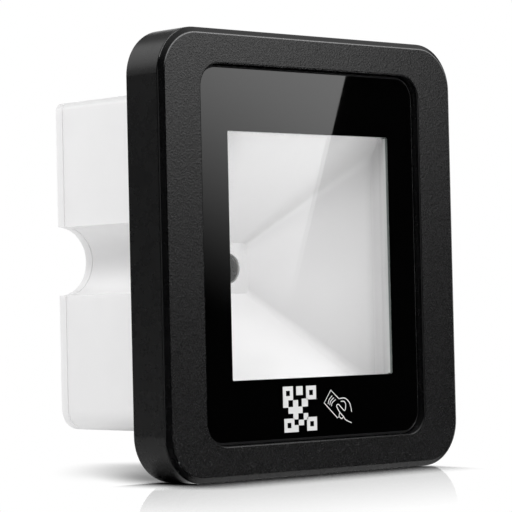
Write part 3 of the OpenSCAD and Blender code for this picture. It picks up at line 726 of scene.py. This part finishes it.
def area_lamp(name, place, target, size, power, turn=0.0):
    """A soft box aimed at a target and turned about its own axis."""
    data = bpy.data.lights.new(name, "AREA")
    data.shape = "RECTANGLE"
    data.size, data.size_y = size
    data.energy = power
    lamp = bpy.data.objects.new(name, data)
    bpy.context.scene.collection.objects.link(lamp)
    aim = (Vector(target) - Vector(place)).to_track_quat("-Z", "Y").to_matrix().to_4x4()
    lamp.matrix_world = Matrix.Translation(place) @ aim @ Matrix.Rotation(turn, 4, "Z")
    lamp.visible_camera = False
    return lamp


def strip_lamp(name, start, end, width, power):
    """A narrow soft box between two places, which faces the reader."""
    start, end = Vector(start), Vector(end)
    along = (end - start).normalized()
    middle = (start + end) / 2
    back = (middle - along * middle.dot(along)).normalized()
    across = back.cross(along)
    lamp = area_lamp(name, middle, (0, 0, 0), ((end - start).length, width), power)
    turn = Matrix((along, across, back)).transposed()
    lamp.matrix_world = Matrix.Translation(middle) @ turn.to_4x4()


def fade_card(card):
    """Lets the card fade out towards its lower end, along a tilted line."""
    card.data.use_nodes = True
    graph = Graph(card.data.node_tree)
    across, up, _ = graph.parts(graph.node("ShaderNodeNewGeometry").outputs["Parametric"])
    tilt = graph.times(graph.math("SUBTRACT", across, CARD_FADE_PIVOT), CARD_FADE_TILT)
    strength = graph.spread(graph.math("ADD", up, tilt), *CARD_FADE)
    glow = graph.node("ShaderNodeEmission", {"Strength": strength})
    output = graph.node("ShaderNodeOutputLight")
    graph.tree.links.new(glow.outputs[0], output.inputs[0])


def make_lamps(ahead):
    """The card mirrored in the window, the strips and the soft fills."""
    glass = Vector((0, PLATE_LOW.y, 0))
    mirrored = Vector((ahead.x, -ahead.y, ahead.z))
    across = Vector((-mirrored.y, mirrored.x, 0)).normalized()
    along = across * math.sin(CARD_SLANT) + UPWARD * math.cos(CARD_SLANT)
    inward = across * math.cos(CARD_SLANT) - UPWARD * math.sin(CARD_SLANT)
    edge = glass + mirrored * CARD_REACH + across * CARD_ASIDE
    centre = edge + along * CARD_RISE - inward * (CARD_W / 2)
    fade_card(area_lamp("window_card", centre, centre - mirrored, (CARD_W, CARD_H), CARD_POWER, -CARD_SLANT))
    for strip in STRIPS:
        strip_lamp(*strip)
    for fill in FILLS:
        area_lamp(*fill).visible_glossy = False


# World

# What gloss sees: an axis, how close to it the glow begins and is full, and its level
GLOWS = (
    ((-0.36, 0.743, 0.564), 0.84, 1.0, 1.4),
    ((0.669, -0.234, 0.703), 0.86, 0.98, 0.85),
    ((-0.92, -0.38, 0.0), 0.93, 0.99, 0.7),
    ((0.669, -0.26, -0.695), 0.86, 0.97, 0.8),
)
SWEEP = (0.86, 0.97)
TOP_HEIGHT, TOP_LEVEL = (0.4, 0.9), 0.6
LEFT_TURN, LEFT_HEIGHT, LEFT_LEVEL = (0.0, 0.5), (-0.1, 0.0), (0.5, 0.05)

# What matt surfaces see: an axis and the level that comes from there
ROOM = (
    ((0, -1, 0), 0.72),
    ((0, 1, 0), 1.1),
    ((0, 0, -1), 1.5),
    ((0, 0, 1), 0.16),
    ((-1, 0, 0), 0.57),
    ((1, 0, 0), 0.35),
)

# Clear skins over the floor. A ray that the floor mirrors has passed each of them twice.
SKINS = 2
SKIN_LIFT = 0.02


def make_world(ahead):
    """White background for the camera, the glass and the floor's mirror image. Gloss sees a studio."""
    world = bpy.data.worlds.new("studio")
    world.use_nodes = True
    bpy.context.scene.world = world
    graph = Graph(world.node_tree)
    way = graph.node("ShaderNodeTexCoord").outputs["Generated"]
    height = graph.parts(way)[2]

    def towards(axis):
        made = graph.node("ShaderNodeVectorMath", {0: way, 1: axis}, operation="DOT_PRODUCT")
        return made.outputs["Value"]

    left = graph.spread(towards((-ahead.x, ahead.y, 0)), *LEFT_TURN)
    studio = graph.times(graph.spread(height, *LEFT_HEIGHT, *LEFT_LEVEL), left)
    studio = graph.most(studio, graph.spread(towards(ahead), *SWEEP),
                        graph.spread(height, *TOP_HEIGHT, 0.0, TOP_LEVEL))
    for axis, begins, full, level in GLOWS:
        studio = graph.most(studio, graph.spread(towards(axis), begins, full, 0.0, level))
    path = graph.node("ShaderNodeLightPath")
    skinned = graph.math("GREATER_THAN", path.outputs["Transparent Depth"], 2 * SKINS - 0.5)
    once = graph.math("LESS_THAN", path.outputs["Glossy Depth"], 1.5)
    rising = graph.math("GREATER_THAN", height, 0.0)
    by_floor = graph.times(skinned, once, rising)
    gloss = graph.times(path.outputs["Is Glossy Ray"], graph.most(studio, by_floor))
    room = 0.0
    for axis, level in ROOM:
        lobe = graph.math("POWER", graph.most(towards(axis), 0.0), 2.0)
        room = graph.math("ADD", graph.times(lobe, level), room)
    soft = graph.times(path.outputs["Is Diffuse Ray"], room)
    seen = graph.most(path.outputs["Is Camera Ray"], path.outputs["Is Transmission Ray"])
    strength = graph.most(seen, gloss, soft)
    sky = graph.node("ShaderNodeBackground", {"Color": rgba((1, 1, 1)), "Strength": strength})
    output = graph.node("ShaderNodeOutputWorld")
    graph.tree.links.new(sky.outputs[0], output.inputs["Surface"])


# Floor. The lengths are in millimetres, measured from the reader's foot.

FLOOR_RADIUS, FLOOR_SIDES = 0.4, 64
PAPER_WHITE = ((0.86, 0.86, 0.86), (0.89, 0.89, 0.89))
PAINTED_SHADOW_BLACK = (0.02, 0.02, 0.02)
FOOT_LEFT, FOOT_RIGHT = -38.0, 31.0
PAPER_REACH = 6.0
# Painted shadow: reach of its soft part and of the dark contact round the foot
SHADOW_X, SHADOW_REAR, SHADOW_FRONT, SHADOW_POWER = 43.0, 62.0, 16.0, 1.4
SHADOW_NEAR = (0.7, 1.15, 0.78, 0.0)
SHADOW_FAR = (0.5, 1.38, 0.62, 0.0)
SHADOW_TURN = (10.0, 45.0)
CONTACT_LEFT, CONTACT_RIGHT, CONTACT_FRONT, CONTACT_REAR = 15.0, 6.0, 22.0, 3.0
MIRROR_SHARE = 0.4
MIRROR_ROUGH = (0.02, 0.03)
MIRROR_BEGIN = (-2.0, 8.0)
MIRROR_REACH = 85.0
MIRROR_ASIDE = (70.0, 130.0)
PASS_BEGIN, PASS_END = (-6.0, -3.0), (3.0, 6.0)


def distance(graph, x, y):
    return graph.math("SQRT", graph.math("ADD", graph.math("POWER", x, 2.0), graph.math("POWER", y, 2.0)))


def outside(graph, value, start, end):
    """How far a value lies outside a range."""
    return graph.most(graph.math("SUBTRACT", start, value), graph.math("SUBTRACT", value, end), 0.0)


def painted_floor_shadow(graph, x, y, front):
    """Share of painted shadow: soft below the reader and behind it, dark where its foot stands."""
    behind = graph.most(graph.math("DIVIDE", y, SHADOW_REAR), graph.math("DIVIDE", y, -SHADOW_FRONT))
    beside = graph.math("DIVIDE", graph.size_of(x), SHADOW_X)
    under = graph.math("ADD", graph.math("POWER", beside, SHADOW_POWER),
                       graph.math("POWER", behind, SHADOW_POWER))
    soft = graph.mix(graph.spread(y, *SHADOW_TURN), graph.spread(under, *SHADOW_NEAR),
                     graph.spread(under, *SHADOW_FAR))
    before = graph.math("DIVIDE", graph.math("SUBTRACT", front, y), CONTACT_FRONT)
    beyond = graph.most(before, graph.math("DIVIDE", y, CONTACT_REAR), 0.0)
    aside = graph.most(graph.math("DIVIDE", graph.math("SUBTRACT", FOOT_LEFT, x), CONTACT_LEFT),
                       graph.math("DIVIDE", graph.math("SUBTRACT", x, FOOT_RIGHT), CONTACT_RIGHT), 0.0)
    contact_shadow = graph.fall(distance(graph, aside, beyond), 0.0, 1.0)
    return graph.most(soft, contact_shadow)


def floor_finish():
    """White floor: painted shadow round the foot, a fading mirror image in front, and clear to white beyond.
    """
    material, graph, output = new_finish("studio_floor")
    spots = graph.noise(60.0, 3.0)
    paper = graph.node("ShaderNodeBsdfDiffuse", {"Color": graph.blend(spots, *PAPER_WHITE)})
    # Painted shadow: a near-black diffuse that the shadow masks mix over the floor
    dark = graph.node("ShaderNodeBsdfDiffuse", {"Color": rgba(PAINTED_SHADOW_BLACK)})
    mirror = graph.node("ShaderNodeBsdfGlossy", {
        "Color": rgba((1, 1, 1)), "Roughness": graph.spread(spots, *NOISE_BAND, *MIRROR_ROUGH),
    })
    clear = graph.node("ShaderNodeBsdfTransparent")
    x, y, _ = graph.parts(graph.place())
    front = CAD_BOX[0].y / MM
    ahead = graph.math("SUBTRACT", front, y)
    away = distance(graph, outside(graph, x, FOOT_LEFT, FOOT_RIGHT), outside(graph, y, front, 0.0))
    ground = graph.overlay(graph.spread(away, 0.0, PAPER_REACH), paper, clear)
    shaded = graph.overlay(painted_floor_shadow(graph, x, y, front), ground, dark)
    fading = graph.math("SUBTRACT", 1.0, graph.math("DIVIDE", ahead, MIRROR_REACH), clamp=True)
    patch = graph.spread(graph.size_of(x), *MIRROR_ASIDE, MIRROR_SHARE, 0.0)
    share = graph.times(fading, graph.spread(ahead, *MIRROR_BEGIN), patch)
    mixed = graph.overlay(share, shaded, mirror)
    near_foot = graph.times(graph.spread(ahead, *PASS_BEGIN), graph.fall(ahead, *PASS_END))
    glossy = graph.node("ShaderNodeLightPath").outputs["Is Glossy Ray"]
    passed = graph.overlay(graph.times(glossy, near_foot), mixed, clear)
    graph.tree.links.new(passed.outputs[0], output.inputs["Surface"])
    return material


def skin_finish():
    """Clear skin over the floor, which only lets the world tell what the floor mirrors."""
    material, graph, output = new_finish("floor_skin")
    clear = graph.node("ShaderNodeBsdfTransparent")
    graph.tree.links.new(clear.outputs[0], output.inputs["Surface"])
    return material


def make_floor():
    """A round floor under the reader, with its clear skins just above it."""
    mesh = bmesh.new()
    for layer in range(SKINS + 1):
        lifted = Matrix.Translation((0, 0, layer * SKIN_LIFT * MM))
        made = bmesh.ops.create_circle(mesh, cap_ends=True, segments=FLOOR_SIDES, radius=FLOOR_RADIUS,
                                       matrix=lifted)
        for face in made["verts"][0].link_faces:
            face.material_index = min(layer, 1)
    data = bpy.data.meshes.new("floor")
    mesh.to_mesh(data)
    mesh.free()
    data.materials.append(floor_finish())
    data.materials.append(skin_finish())
    floor = bpy.data.objects.new("floor", data)
    floor.location.z = CAD_BOX[0].z
    bpy.context.scene.collection.objects.link(floor)


dress_solids()
INK = print_finish()
make_code_symbol(INK)
make_card_symbol(INK)
make_window_edge()
VIEW = make_camera()
make_lamps(VIEW)
make_world(VIEW)
make_floor()
bpy.context.scene.view_settings.view_transform = "Standard"
